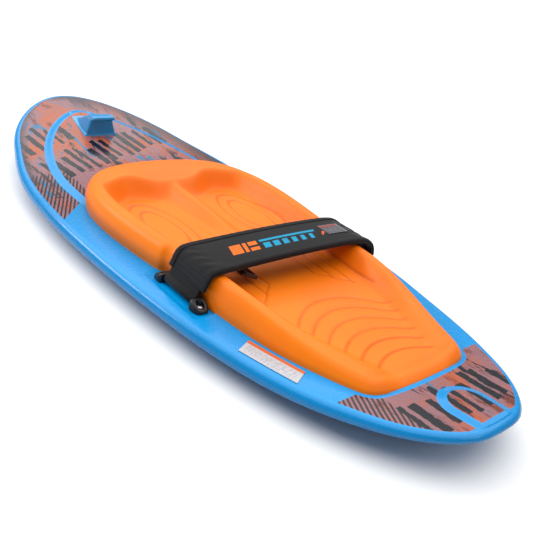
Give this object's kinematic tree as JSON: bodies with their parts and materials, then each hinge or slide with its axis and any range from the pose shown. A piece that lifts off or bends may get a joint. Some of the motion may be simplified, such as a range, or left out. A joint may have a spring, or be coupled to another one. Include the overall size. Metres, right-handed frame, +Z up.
{
  "type": "kneeboard",
  "caption": "Kneeboard with moulded hull and tow hook, contoured foam knee pad, and a padded thigh strap hinged on a side bracket.",
  "frame": {"origin": "on the flat of the underside, midway along and across the board", "axes": "+Y to the nose, +X to starboard, +Z up"},
  "size_m": [0.5132, 1.2696, 0.116],
  "materials": {
    "hull_blue": "glossy moulded polyethylene with in-mould graphic",
    "core_foam": "rigid foam",
    "plug_black": "satin",
    "seal_rubber": "matt",
    "pad_orange": "moulded EVA foam skin, satin",
    "nylon_black": "satin moulded nylon",
    "steel": "bright",
    "brass": "turned",
    "strap_black": "knitted neoprene cover",
    "strap_foam_grey": "soft foam",
    "webbing_black": "ribbed webbing",
    "binding_black": "stitched binding tape",
    "tape_hook": "hook tape",
    "tape_loop": "loop tape",
    "patch_grey": "woven patch",
    "label_grey": "printed vinyl"
  },
  "bodies": {
    "board": {"hull_shell": "hull_blue", "foam_core": "core_foam", "tail_plug": "plug_black", "plug_seal": "seal_rubber", "knee_pad": "pad_orange", "bracket_port": "nylon_black", "bracket_starboard": "nylon_black", "screw_1": "steel", "screw_2": "steel", "screw_3": "steel", "screw_4": "steel", "insert_1": "brass", "insert_2": "brass", "insert_3": "brass", "insert_4": "brass", "deck_label": "label_grey", "webbing_anchor": "webbing_black", "webbing_starboard": "webbing_black", "hook_tape": "tape_hook"},
    "thigh_strap": {"webbing_port": "webbing_black", "strap_cover": "strap_black", "strap_foam": "strap_foam_grey", "binding_front": "binding_black", "binding_rear": "binding_black", "binding_end": "binding_black", "loop_tape": "tape_loop", "strap_patch": "patch_grey", "ring_tab": "webbing_black"},
    "ring": {"strap_ring": "nylon_black"}
  },
  "joints": [
    {"name": "strap_hinge", "type": "hinge", "parent": "board", "child": "thigh_strap", "pos_m": [-0.187, -0.176, 0.0538], "axis": [0, -1, 0], "range_deg": [0, 95]},
    {"name": "ring_swing", "type": "hinge", "parent": "thigh_strap", "child": "ring", "pos_m": [-0.0975, -0.176, 0.082], "axis": [0, -1, 0], "range_deg": [0, 18]}
  ]
}
